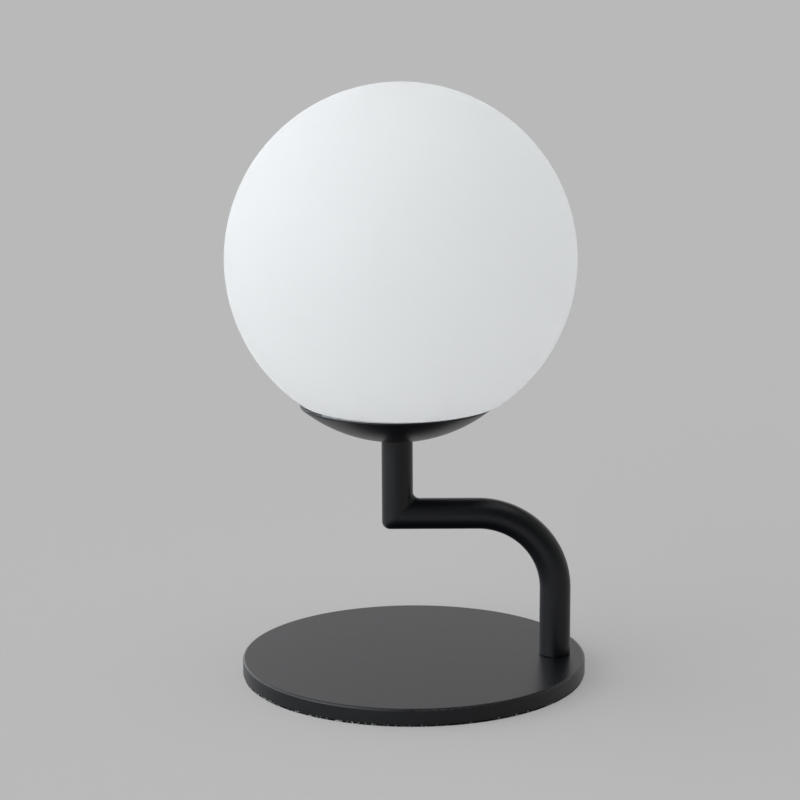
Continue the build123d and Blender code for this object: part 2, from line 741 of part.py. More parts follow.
def lead_route(side):
    """Points of one lead's route, chosen to hang freely, where side is +1 or -1 across the arm."""
    near = side * lead_spacing
    bend_x = foot_x - bend_radius
    bend_z = arm_z - bend_radius
    corner = bend_radius / cos(pi / 12)
    around_bend = [
        (bend_x + corner * cos(pi * turn / 12), near, bend_z + corner * sin(pi * turn / 12))
        for turn in (1, 3, 5)
    ]
    return [
        (splice_end_x, side * splice_spacing, splice_z),
        (splice_end_x + 8, side * splice_spacing, splice_z),
        (splice_end_x + 18, side * 1.9, splice_z - 1.2),
        (foot_x - 34, near + 0.5, splice_z - 1.9),
        (foot_x - 19, near, splice_z - 2.1),
        (foot_x - 10, near - 0.2, splice_z - 1.9),
        (foot_x - 3, near, splice_z - 2.0),
        (foot_x + 1.5, near, foot_nut_bottom + 2.7),
        (foot_x + 1.1, near, foot_stud_top),
        (foot_x - 0.9, near, bend_z - 8),
        *around_bend,
        (lamp_x + 28, near, arm_z - 1.3),
        (lamp_x + 0.4, near, arm_z + 0.5),
        (lamp_x - 0.6, near, arm_z + 26),
        (lamp_x + 0.2, near, bowl_bottom + 0.9),
        (lamp_x, near + side * 0.2, top_stud_top - 0.7),
        (lamp_x, side * pin_spacing / 2, holder_bottom + holder_cavity_height - 3.5),
        (lamp_x, side * pin_spacing / 2, contact_floor),
    ]


def lead_radii(points):
    """Bend radius at each inner point: as large as the two runs that meet there allow."""
    radii = []
    for before, here, after in zip(points, points[1:], points[2:]):
        run_in = Vector(*here) - Vector(*before)
        run_out = Vector(*after) - Vector(*here)
        half_turn = radians(run_in.get_angle(run_out)) / 2
        radii.append(0.45 * min(run_in.length, run_out.length) / tan(half_turn))
    return radii


for side, label in ((1, "live_lead"), (-1, "neutral_lead")):
    route = lead_route(side)
    radii = lead_radii(route)
    with BuildPart() as inner_lead:
        with BuildLine() as lead_line:
            FilletPolyline(*route, radius=radii)
        with BuildSketch(Plane(origin=lead_line.line @ 0, z_dir=lead_line.line % 0)):
            Circle(lead_radius)
        sweep()
    save(inner_lead, label)
    lead_length = sum(edge.length for edge in lead_line.edges())
    lead_volume = pi * lead_radius**2 * lead_length
    print(label, "bend radii", [round(radius, 1) for radius in radii])
    print(label, "volume over section times length", round(inner_lead.part.volume / lead_volume, 5))

# ---------------------------------------------------------------------------------------------
# Globe
# ---------------------------------------------------------------------------------------------

with BuildPart() as glass_globe:
    ball_sweep = 180 - shoulder_angle
    fillet_centre = (neck_outer_radius + neck_fillet, flat_z - neck_fillet)
    shoulder_centre = (shoulder_centre_radius, flat_z + shoulder_radius)
    with BuildSketch(globe_section):
        with BuildLine():
            # Outside, from the neck's end to the top of the ball
            Line((neck_outer_radius, neck_end), (neck_outer_radius, fillet_centre[1]))
            CenterArc(fillet_centre, neck_fillet, 90, 90)
            Line((fillet_centre[0], flat_z), (shoulder_centre_radius, flat_z))
            CenterArc(shoulder_centre, shoulder_radius, -90, shoulder_angle)
            CenterArc((0, globe_centre), globe_radius, shoulder_angle - 90, ball_sweep)
            Line((0, globe_centre + globe_radius), (0, globe_centre + globe_radius - glass_wall))
            # Inside, from the top of the ball back to the neck's end
            CenterArc((0, globe_centre), globe_radius - glass_wall, shoulder_angle - 90, ball_sweep)
            CenterArc(shoulder_centre, shoulder_radius - glass_wall, -90, shoulder_angle)
            Line((shoulder_centre_radius, flat_z + glass_wall), (fillet_centre[0], flat_z + glass_wall))
            CenterArc(fillet_centre, neck_fillet + glass_wall, 90, 90)
            Line((neck_inner_radius, fillet_centre[1]), (neck_inner_radius, neck_end))
            Line((neck_inner_radius, neck_end), (neck_outer_radius, neck_end))
        make_face()
    revolve(axis=globe_axis)
save(glass_globe, "glass_globe")

# ---------------------------------------------------------------------------------------------
# Bulb
# ---------------------------------------------------------------------------------------------

with BuildPart() as bulb_pins:
    for side in (1, -1):
        loop_plane = Plane(origin=(lamp_x, side * pin_spacing / 2, 0), x_dir=(1, 0, 0), z_dir=(0, -1, 0))
        loop_centre_z = pin_tip + pin_wire_radius + pin_loop_radius
        with BuildLine(loop_plane) as loop:
            Line((-pin_loop_radius, bulb_bottom + pin_embed), (-pin_loop_radius, loop_centre_z))
            CenterArc((0, loop_centre_z), pin_loop_radius, 180, 180)
            Line((pin_loop_radius, loop_centre_z), (pin_loop_radius, bulb_bottom + pin_embed))
        with BuildSketch(Plane(origin=loop.line @ 0, z_dir=loop.line % 0)):
            Circle(pin_wire_radius)
        sweep(path=loop.line)
save(bulb_pins, "bulb_pins")

with BuildPart() as bulb_base:
    with BuildSketch(lamp_level(bulb_bottom)):
        Circle(bulb_radius)
    extrude(amount=bulb_base_height)
    chamfer(bulb_base.edges().group_by(Axis.Z)[0], bulb_base_chamfer)
    with BuildSketch(lamp_level(bulb_shoulder)):
        Circle(bulb_radius - bulb_cover_wall)
    extrude(amount=bulb_spigot_height)
    with BuildSketch(lamp_level(bulb_bottom)):
        with GridLocations(2 * pin_loop_radius, pin_spacing, 2, 2):
            Circle(pin_wire_radius)
    extrude(amount=pin_embed, mode=Mode.SUBTRACT)
save(bulb_base, "bulb_base")

with BuildPart() as bulb_cover:
    dome_z = bulb_shoulder + bulb_cover_height - bulb_radius
    bulb_inner_radius = bulb_radius - bulb_cover_wall
    with BuildSketch(lamp_section):
        with BuildLine():
            Line((bulb_inner_radius, bulb_shoulder), (bulb_radius, bulb_shoulder))
            Line((bulb_radius, bulb_shoulder), (bulb_radius, dome_z))
            CenterArc((0, dome_z), bulb_radius, 0, 90)
            Line((0, dome_z + bulb_radius), (0, dome_z + bulb_inner_radius))
            CenterArc((0, dome_z), bulb_inner_radius, 0, 90)
            Line((bulb_inner_radius, dome_z), (bulb_inner_radius, bulb_shoulder))
        make_face()
    revolve(axis=lamp_axis)
save(bulb_cover, "bulb_cover")

with BuildPart() as led_board:
    with BuildSketch(lamp_level(bulb_shoulder + bulb_spigot_height)):
        Rectangle(board_width, board_thickness)
    extrude(amount=board_height)
save(led_board, "led_board")
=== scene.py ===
"""Glass globe table lamp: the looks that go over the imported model, in metres, in the model's own frame."""

import logging
from dataclasses import dataclass, field
from enum import Enum
from math import acos, asin, cos, degrees, pi, radians, sin, sqrt

import bpy
import numpy as np
import numpy.typing as npt
from mathutils import Matrix, Vector


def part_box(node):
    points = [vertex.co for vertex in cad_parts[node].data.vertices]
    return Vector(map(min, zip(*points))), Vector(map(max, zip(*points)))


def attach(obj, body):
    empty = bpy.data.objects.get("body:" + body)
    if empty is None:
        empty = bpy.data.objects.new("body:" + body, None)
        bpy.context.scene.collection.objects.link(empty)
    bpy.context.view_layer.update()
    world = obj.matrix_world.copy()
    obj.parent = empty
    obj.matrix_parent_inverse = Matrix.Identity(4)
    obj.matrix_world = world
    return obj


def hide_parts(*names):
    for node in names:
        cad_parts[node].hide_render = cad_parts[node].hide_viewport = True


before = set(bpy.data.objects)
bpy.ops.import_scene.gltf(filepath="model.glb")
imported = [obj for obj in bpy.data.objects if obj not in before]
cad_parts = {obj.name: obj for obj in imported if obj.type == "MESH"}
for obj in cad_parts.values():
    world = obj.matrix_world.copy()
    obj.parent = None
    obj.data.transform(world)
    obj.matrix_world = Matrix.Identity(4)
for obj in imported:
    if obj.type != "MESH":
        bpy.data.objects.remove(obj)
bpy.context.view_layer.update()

Points = npt.NDArray[np.float64]
Shader = bpy.types.ShaderNodeTree
LOG = logging.getLogger("lamp")
MM = 0.001
TUBE_RADIUS = 9.0
DISH_RADIUS = 87.0
DISH_HOLE = 5.2
CRISP_EDGE = 35.0  # degrees; an edge that turns more keeps a crisp shade


# ---------------------------------------------------------------------------------------------
# Shapes: arcs, turned and carried surfaces, and the mesh that holds them
# ---------------------------------------------------------------------------------------------


def arc(centre: tuple[float, float], radius: float, start: float, end: float, count: int) -> Points:
    """Circular arc in a plane: centre plus radius times (cos t, sin t), with t even from start to end.

    Args:
        centre: Middle of the circle.
        radius: Its radius.
        start: First angle, in degrees from the first axis.
        end: Last angle, in degrees.
        count: Number of points.

    Returns:
        The points, one row each.
    """
    turn = np.radians(np.linspace(start, end, count))
    return np.column_stack((centre[0] + radius * np.cos(turn), centre[1] + radius * np.sin(turn)))


def run(start: tuple[float, float], end: tuple[float, float], count: int) -> Points:
    """Straight run of points: start plus share times (end minus start), without the two ends.

    Args:
        start: Point before the first one.
        end: Point after the last one.
        count: Number of points between them.

    Returns:
        The points, one row each.
    """
    share = np.linspace(0, 1, count + 2)[1:-1, None]
    return np.array(start) + share * (np.array(end) - np.array(start))


def ring_angles(count: int) -> Points:
    """Even angles round a circle, in radians, with the last one step short of the first."""
    return np.arange(count) * (2 * pi / count)


def turned(profile: Points, centre_x: float, segments: int) -> Points:
    """Surface of revolution: (r, z) at angle a lies at (centre_x + r cos a, r sin a, z).

    Args:
        profile: Radius and height of each point, one row each.
        centre_x: Place of the upright axis.
        segments: Number of points round the axis.

    Returns:
        A grid of points: along the profile, then round the axis.
    """
    angle = ring_angles(segments)[None, :]
    radius, height = profile[:, 0, None], profile[:, 1, None]
    across = radius * np.cos(angle) + centre_x
    return np.stack((across, radius * np.sin(angle), height + 0 * angle), axis=-1)


def ball_height(centre: float, radius: float, distance: float) -> float:
    """Height of a ball's lower surface at a distance from its upright axis."""
    return centre - sqrt(radius**2 - distance**2)


def span(node: str, axis: int) -> tuple[float, float]:
    """Lowest and highest place of a solid along an axis, counted 0, 1 or 2, in millimetres."""
    low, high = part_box(node)
    return low[axis] / MM, high[axis] / MM


def middle(node: str, axis: int) -> float:
    """Middle of a solid along an axis, in millimetres."""
    return sum(span(node, axis)) / 2


def skin(name: str, grid: Points, closed_along: bool) -> bpy.types.Object:
    """Mesh of a grid of points whose second direction is always closed. Corners that fall together become one.

    Args:
        name: Name of the piece.
        grid: Points in millimetres, along the profile and then round it.
        closed_along: Whether the last ring joins the first.

    Returns:
        The piece, at the origin, with its faces outwards.
    """
    rows, columns = grid.shape[:2]
    index = np.arange(rows * columns).reshape(rows, columns)
    after = np.roll(index, -1, axis=0) if closed_along else index[1:]
    before = index if closed_along else index[:-1]
    corners = (before, after, np.roll(after, -1, axis=1), np.roll(before, -1, axis=1))
    faces = np.stack(corners, axis=-1).reshape(-1, 4)
    places, place_of = np.unique(np.round(grid.reshape(-1, 3), 5), axis=0, return_inverse=True)
    faces = place_of.reshape(-1)[faces]
    same = faces == np.roll(faces, -1, axis=1)
    quads = faces[same.sum(axis=1) == 0]
    folded = same.sum(axis=1) == 1
    first = np.argmax(same[folded], axis=1)[:, None]
    triangles = np.take_along_axis(faces[folded], (first + np.array([0, 2, 3])) % 4, axis=1)
    mesh = bpy.data.meshes.new(name)
    mesh.from_pydata((places * MM).tolist(), [], quads.tolist() + triangles.tolist())
    mesh.validate()
    face_out(mesh)
    mesh.shade_smooth()
    mesh.set_sharp_from_angle(angle=radians(CRISP_EDGE))
    piece = bpy.data.objects.new(name, mesh)
    bpy.context.scene.collection.objects.link(piece)
    return piece


def face_out(mesh: bpy.types.Mesh) -> None:
    """Turn a closed mesh's faces outwards: its signed volume, the sum of corner . (corner x corner) / 6, is positive.

    Args:
        mesh: The mesh to turn.
    """
    mesh.calc_loop_triangles()
    corner = np.empty(3 * len(mesh.loop_triangles), np.int32)
    mesh.loop_triangles.foreach_get("vertices", corner)
    place = np.empty(3 * len(mesh.vertices), np.float32)
    mesh.vertices.foreach_get("co", place)
    tri = place.reshape(-1, 3)[corner.reshape(-1, 3)].astype(float)
    if np.einsum("ij,ij->i", tri[:, 0], np.cross(tri[:, 1], tri[:, 2])).sum() < 0:
        mesh.flip_normals()


# ---------------------------------------------------------------------------------------------
# Finishes
# ---------------------------------------------------------------------------------------------

MIX_A, MIX_B, MIX_RESULT = 6, 7, 2  # sockets of a Mix node that mixes colours
NOISE_LOW, NOISE_HIGH = 0.3, 0.7  # most of a noise's values lie between these
LINT_EDGE = 0.06  # part of the noise's range over which lint fades in
BRUSH_STRETCH, FIBRE_STRETCH = 40.0, 3.0  # times that rolling marks and felt fibres are longer than wide
WAVE_RATE = 20.0  # a Wave node turns through this many radians per unit of its scale


def linear(code: str) -> tuple[float, float, float, float]:
    """Colour of an sRGB hex value as linear light: ((c + 0.055) / 1.055) to the power 2.4, or c / 12.92 near black.

    Args:
        code: Six hex digits.

    Returns:
        Linear red, green and blue, and full opacity.
    """
    share = [int(code[place:place + 2], 16) / 255 for place in (0, 2, 4)]
    red, green, blue = (c / 12.92 if c <= 0.04045 else ((c + 0.055) / 1.055) ** 2.4 for c in share)
    return red, green, blue, 1.0


def add(tree: Shader, kind: str, settings: dict[str, object], inputs: dict[str | int, object]) -> bpy.types.Node:
    """Add a node, set its properties, and set or link its inputs.

    Args:
        tree: The node tree.
        kind: The node's type.
        settings: Properties by name.
        inputs: Values, or sockets to link from, by input name.

    Returns:
        The node.
    """
    node = tree.nodes.new(kind)
    for key, value in settings.items():
        setattr(node, key, value)
    for key, value in inputs.items():
        if isinstance(value, bpy.types.NodeSocket):
            tree.links.new(value, node.inputs[key])
        else:
            node.inputs[key].default_value = value
    return node


class Grain(Enum):
    """Kinds of fine relief that a surface can have."""

    PEBBLED = "pebbled"
    BRUSHED = "brushed"
    TURNED = "turned"
    FIBROUS = "fibrous"


@dataclass(frozen=True)
class Finish:
    """A surface as it is made: a colour and its faint variation, its gloss, and its fine relief.

    The grain is the size of the relief, the blotches that of the variation, and lets_through the share of light
    that passes through. Lint shows where its noise is over its level.
    """

    name: str
    slot: str
    shade: str
    second_shade: str
    metallic: float
    roughness: float
    roughness_spread: float
    grain: Grain
    grain_mm: float
    relief_mm: float
    blotch_mm: float
    ior: float = 1.5
    lets_through: float = 0.0
    lint: str = ""
    lint_mm: float = 1.0
    lint_level: float = 0.6
    extra: dict[str, object] = field(default_factory=dict)

    def material(self) -> bpy.types.Material:
        """Build the finish's material: blotches mix two shades, and noise at the grain's size moves gloss and relief.

        Returns:
            The material, made once.
        """
        known = bpy.data.materials.get(self.name)
        if known is not None:
            return known
        made = bpy.data.materials.new(self.name)
        made.use_nodes = True
        tree = made.node_tree
        shader = tree.nodes["Principled BSDF"]
        place = add(tree, "ShaderNodeTexCoord", {}, {}).outputs["Object"]
        blotch = add(
            tree, "ShaderNodeTexNoise", {}, {"Vector": place, "Scale": 1 / (self.blotch_mm * MM), "Detail": 4.0}
        )
        mixed = add(tree, "ShaderNodeMix", {"data_type": "RGBA"}, {
            "Factor": blotch.outputs["Fac"], MIX_A: linear(self.shade), MIX_B: linear(self.second_shade),
        }).outputs[MIX_RESULT]
        colour = self.with_lint(tree, place, mixed) if self.lint else mixed
        tree.links.new(colour, shader.inputs["Base Color"])
        height = self.relief(tree, place)
        gloss = add(tree, "ShaderNodeMapRange", {}, {
            "Value": height,
            "From Min": NOISE_LOW,
            "From Max": NOISE_HIGH,
            "To Min": self.roughness - self.roughness_spread,
            "To Max": self.roughness + self.roughness_spread,
        })
        tree.links.new(gloss.outputs["Result"], shader.inputs["Roughness"])
        bump = add(tree, "ShaderNodeBump", {}, {"Height": height, "Distance": self.relief_mm * MM, "Strength": 1.0})
        tree.links.new(bump.outputs["Normal"], shader.inputs["Normal"])
        shader.inputs["Metallic"].default_value = self.metallic
        if self.metallic == 0:
            shader.inputs["IOR"].default_value = self.ior
        for socket, value in self.extra.items():
            shader.inputs[socket].default_value = value
        if self.lets_through:
            through = add(tree, "ShaderNodeBsdfTranslucent", {}, {"Color": mixed})
            both = add(tree, "ShaderNodeMixShader", {}, {"Fac": self.lets_through})
            tree.links.new(shader.outputs["BSDF"], both.inputs[1])
            tree.links.new(through.outputs["BSDF"], both.inputs[2])
            tree.links.new(both.outputs["Shader"], tree.nodes["Material Output"].inputs["Surface"])
        return made

    def with_lint(
        self, tree: Shader, place: bpy.types.NodeSocket, colour: bpy.types.NodeSocket
    ) -> bpy.types.NodeSocket:
        """Scatter pale lint over a colour, where noise at the lint's size is over its level.

        Args:
            tree: The material's nodes.
            place: Object coordinates.
            colour: The colour under the lint.

        Returns:
            The socket that gives the new colour.
        """
        noise = add(tree, "ShaderNodeTexNoise", {}, {"Vector": place, "Scale": 1 / (self.lint_mm * MM), "Detail": 1.0})
        share = add(tree, "ShaderNodeMapRange", {}, {
            "Value": noise.outputs["Fac"], "From Min": self.lint_level, "From Max": self.lint_level + LINT_EDGE,
        })
        return add(tree, "ShaderNodeMix", {"data_type": "RGBA"}, {
            "Factor": share.outputs["Result"], MIX_A: colour, MIX_B: linear(self.lint),
        }).outputs[MIX_RESULT]

    def relief(self, tree: Shader, place: bpy.types.NodeSocket) -> bpy.types.NodeSocket:
        """Height of the fine relief: noise at the grain's size, drawn out or wound round for tool marks.

        Args:
            tree: The material's nodes.
            place: Object coordinates.

        Returns:
            The socket that gives the height.
        """
        pitch = 1 / (self.grain_mm * MM)
        stretch = {
            Grain.BRUSHED: (pitch, pitch / BRUSH_STRETCH, pitch),
            Grain.FIBROUS: (pitch, pitch / FIBRE_STRETCH, pitch),
        }.get(self.grain, (pitch, pitch, pitch))
        if self.grain is Grain.TURNED:
            wave = {"wave_type": "RINGS", "rings_direction": "Z"}
            return add(
                tree, "ShaderNodeTexWave", wave, {"Vector": place, "Scale": pitch / WAVE_RATE, "Distortion": 0.6}
            ).outputs["Fac"]
        scaled = add(tree, "ShaderNodeMapping", {}, {"Vector": place, "Scale": stretch})
        return add(
            tree, "ShaderNodeTexNoise", {}, {"Vector": scaled.outputs["Vector"], "Scale": 1.0, "Detail": 2.0}
        ).outputs["Fac"]

    def dress(self, *pieces: bpy.types.Object) -> None:
        """Put the finish on pieces.

        Args:
            pieces: The pieces to dress.
        """
        for piece in pieces:
            piece.data.materials.clear()
            piece.data.materials.append(self.material())


# Polyester powder, baked on steel: a deep satin black with a fine pebbled skin, black face on and grey edge on
POWDER_COAT = Finish(
    "satin_black_powder_coat", "powder_black", "0D0E12", "0A0B0F", 0.0, 0.33, 0.03,
    Grain.PEBBLED, 0.9, 0.012, 35.0, ior=1.4,
)
# Opal glass, blown in layers and etched: a milky white that glows through, with no sharp highlight
OPAL_GLASS = Finish(
    "etched_opal_glass", "opal_glass", "FDFDFD", "FCFCFC", 0.0, 0.42, 0.02,
    Grain.PEBBLED, 1.5, 0.004, 60.0, lets_through=0.9,
)
# Pressed wool felt: matt black with a nap of short fibres, and the pale lint that it picks up
FELT = Finish(
    "pressed_black_felt", "felt_black", "08080A", "0F0F10", 0.0, 0.95, 0.03,
    Grain.FIBROUS, 0.35, 0.25, 6.0, lint="A8A8A2", extra={"Specular IOR Level": 0.15},
)
# Steel with a thin zinc plate: bluish silver, a little cloudy
ZINC_PLATE = Finish(
    "bright_zinc_plate", "zinc_steel", "B9BCC1", "A7ABB0", 1.0, 0.34, 0.08,
    Grain.PEBBLED, 0.6, 0.006, 7.0,
)
# Hardened spring strip: darker, with rolling marks along it
SPRING_STEEL = Finish(
    "rolled_spring_steel", "spring_steel", "9A9CA0", "8A8C91", 1.0, 0.28, 0.07,
    Grain.BRUSHED, 0.25, 0.004, 9.0,
)
# Turned brass: warm yellow with fine rings from the tool
BRASS = Finish(
    "turned_brass", "brass", "C9A45C", "BB9550", 1.0, 0.26, 0.06,
    Grain.TURNED, 0.35, 0.006, 5.0,
)
# Copper stamped and dipped in tin: pale grey and soft
TINNED_COPPER = Finish(
    "tinned_copper", "tinned_copper", "C4C4C2", "B4B3AF", 1.0, 0.38, 0.08,
    Grain.PEBBLED, 0.5, 0.006, 4.0,
)
# Nickel wire: pale and slightly warm, with drawing marks
NICKEL_WIRE = Finish(
    "drawn_nickel_wire", "nickel_wire", "BFB9AF", "AFA99F", 1.0, 0.24, 0.05,
    Grain.BRUSHED, 0.15, 0.002, 4.0,
)
# Moulded rubber: matt black with a fine mould texture
RUBBER = Finish(
    "moulded_black_rubber", "black_rubber", "1D1D1D", "242424", 0.0, 0.72, 0.06,
    Grain.PEBBLED, 0.4, 0.02, 5.0,
)
# Silicone: milky and soft, it lets a little light in
SILICONE = Finish(
    "milky_silicone", "clear_silicone", "E3E4E2", "D8DAD8", 0.0, 0.5, 0.05,
    Grain.PEBBLED, 0.8, 0.006, 8.0, ior=1.41,
    extra={"Subsurface Weight": 0.6, "Subsurface Radius": (1.0, 1.0, 1.0), "Subsurface Scale": 0.0015},
)
# Moulded nylon: off-white and waxy
NYLON = Finish(
    "natural_nylon", "splice_nylon", "D6D0C2", "CAC4B4", 0.0, 0.5, 0.05,
    Grain.PEBBLED, 0.5, 0.01, 5.0,
)
# Silicone insulation on the leads, brown and blue, dusted with talc
BROWN_LEAD = Finish(
    "brown_silicone_insulation", "lead_brown", "5A3A28", "664636", 0.0, 0.62, 0.06,
    Grain.PEBBLED, 0.4, 0.01, 6.0,
)
BLUE_LEAD = Finish(
    "blue_silicone_insulation", "lead_blue", "2C5D95", "3A6BA1", 0.0, 0.62, 0.06,
    Grain.PEBBLED, 0.4, 0.01, 6.0,
)
# Steatite, pressed and fired without a glaze: creamy white, dry, with fine grit
STEATITE = Finish(
    "fired_steatite", "porcelain", "E6E1D5", "DBD5C6", 0.0, 0.68, 0.06,
    Grain.PEBBLED, 0.35, 0.02, 6.0,
)
# Heat-proof plastic of the bulb's base: white, moulded, half gloss
LAMP_PLASTIC = Finish(
    "moulded_white_plastic", "lamp_plastic", "E7E7E5", "E1E1DF", 0.0, 0.32, 0.04,
    Grain.PEBBLED, 0.7, 0.004, 8.0,
)
# Frosted polycarbonate of the bulb's cover: white and soft, it lets a little light in
FROSTED_COVER = Finish(
    "frosted_polycarbonate", "frosted_cover", "EDEDEA", "E8E8E5", 0.0, 0.45, 0.04,
    Grain.PEBBLED, 0.6, 0.006, 10.0, ior=1.58,
    extra={"Subsurface Weight": 0.7, "Subsurface Radius": (1.0, 1.0, 1.0), "Subsurface Scale": 0.002},
)
# Circuit board: white solder mask with dabs of yellow phosphor over its diodes
LED_BOARD = Finish(
    "phosphor_board", "led_board", "EFEDE4", "E2C84E", 0.0, 0.4, 0.05,
    Grain.PEBBLED, 0.5, 0.01, 2.2,
)


# ---------------------------------------------------------------------------------------------
# Sub-assemblies
# ---------------------------------------------------------------------------------------------


@dataclass
class Assembly:
    """Pieces of one sub-assembly, with what they replace and ride on."""

    body: str = "stand"

    def seat(self, piece: bpy.types.Object, *nodes: str) -> bpy.types.Object:
        """Let a piece stand for solids and ride on the body that carries them.

        Args:
            piece: The new piece.
            nodes: Names of the solids that it stands for.

        Returns:
            The piece.
        """
        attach(piece, self.body)
        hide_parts(*nodes)
        LOG.info("%s: %d faces, stands for %s", piece.name, len(piece.data.polygons), ", ".join(nodes))
        return piece

    def keep(self, finish: Finish, *nodes: str) -> None:
        """Dress solids that stay as they are.

        Args:
            finish: Their finish.
            nodes: Their names.
        """
        for node in nodes:
            finish.dress(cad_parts[node])
            LOG.info("%s: kept, %s", node, finish.name)


@dataclass
class Globe(Assembly):
    """Opal globe: a ball that turns in over a shoulder to a flat underside with a short ground neck."""

    body: str = "globe"
    globe_x: float = field(default_factory=lambda: middle("glass_globe", 0))
    ends: tuple[float, float] = field(default_factory=lambda: span("glass_globe", 2))
    radius: float = 100.0
    wall: float = 2.5
    shoulder: float = 12.0
    shoulder_start: float = 59.1
    neck_inner: float = 37.5
    neck_fillet: float = 3.0
    ground_edge: float = 0.5
    segments: int = 256

    def profile(self) -> Points:
        """Half section from the top, down the outside, round the neck's end and up the inside to the top.

        Returns:
            Radius and height of each point.
        """
        tilt = degrees(asin(self.shoulder_start / self.radius))
        inner_reach = self.radius - self.shoulder
        neck_end, top = self.ends
        centre = (0.0, top - self.radius)
        hub = (inner_reach * sin(radians(tilt)), centre[1] - inner_reach * cos(radians(tilt)))
        neck_outer = self.neck_inner + self.wall
        fillet = (neck_outer + self.neck_fillet, hub[1] - self.shoulder - self.neck_fillet)
        edge = self.ground_edge
        return np.vstack((
            arc(centre, self.radius, 90, tilt - 90, 150),
            arc(hub, self.shoulder, tilt - 90, -90, 24)[1:],
            arc(fillet, self.neck_fillet, 90, 180, 10),
            [(neck_outer, neck_end + edge)],
            arc((neck_outer - edge, neck_end + edge), edge, 0, -90, 5)[1:],
            arc((self.neck_inner + edge, neck_end + edge), edge, -90, -180, 5),
            arc(fillet, self.neck_fillet + self.wall, 180, 90, 12),
            arc(hub, self.shoulder - self.wall, -90, tilt - 90, 20),
            arc(centre, self.radius - self.wall, tilt - 90, 90, 110)[1:],
        ))

    def build(self) -> None:
        """Turn the section about the globe's axis and dress it in opal glass."""
        profile = self.profile()
        profile[[0, -1], 0] = 0.0
        ball = skin("opal_globe", turned(profile, self.globe_x, self.segments), closed_along=False)
        OPAL_GLASS.dress(self.seat(ball, "glass_globe"))


@dataclass
class Dish(Assembly):
    """Spun dish under the globe, part of a hollow ball, with what it holds."""

    lamp_x: float = field(default_factory=lambda: middle("upper_tube", 0))
    radius: float = DISH_RADIUS
    wall: float = 1.2
    heights: tuple[float, float] = field(default_factory=lambda: span("bowl", 2))
    hole: float = DISH_HOLE
    segments: int = 256

    def profile(self) -> Points:
        """Half section: outside arc from the hole to the rim, a full round of half the wall there, and back inside.

        The hole's edge is the lowest point, at the ball's centre height less the root of R squared - r squared.

        Returns:
            Radius and height of each point.
        """
        hole_edge, rim = self.heights
        centre = (0.0, hole_edge + sqrt(self.radius**2 - self.hole**2))
        middle = self.radius - self.wall / 2
        start = degrees(asin(self.hole / self.radius))
        inner = self.radius - self.wall
        turn = degrees(acos((centre[1] - rim + self.wall / 2) / middle))
        bead = (middle * sin(radians(turn)), rim - self.wall / 2)
        return np.vstack((
            arc(centre, self.radius, start - 90, turn - 90, 70),
            arc(bead, self.wall / 2, turn - 90, turn + 90, 12)[1:-1],
            arc(centre, inner, turn - 90, start - 90, 70),
        ))

    def build(self) -> None:
        """Turn the section about the lamp's axis, and dress the dish and its contents."""
        shell = skin("spun_dish", turned(self.profile(), self.lamp_x, self.segments), closed_along=True)
        POWDER_COAT.dress(self.seat(shell, "bowl"))
        self.keep(ZINC_PLATE, "spacer_sleeve", "clip_plate", "clip_rivets", "lock_washer", "top_nut")
        self.keep(SPRING_STEEL, "spring_clip_1", "spring_clip_2", "spring_clip_3")
        self.keep(BRASS, "top_stud")
        self.keep(SILICONE, "seat_ring")


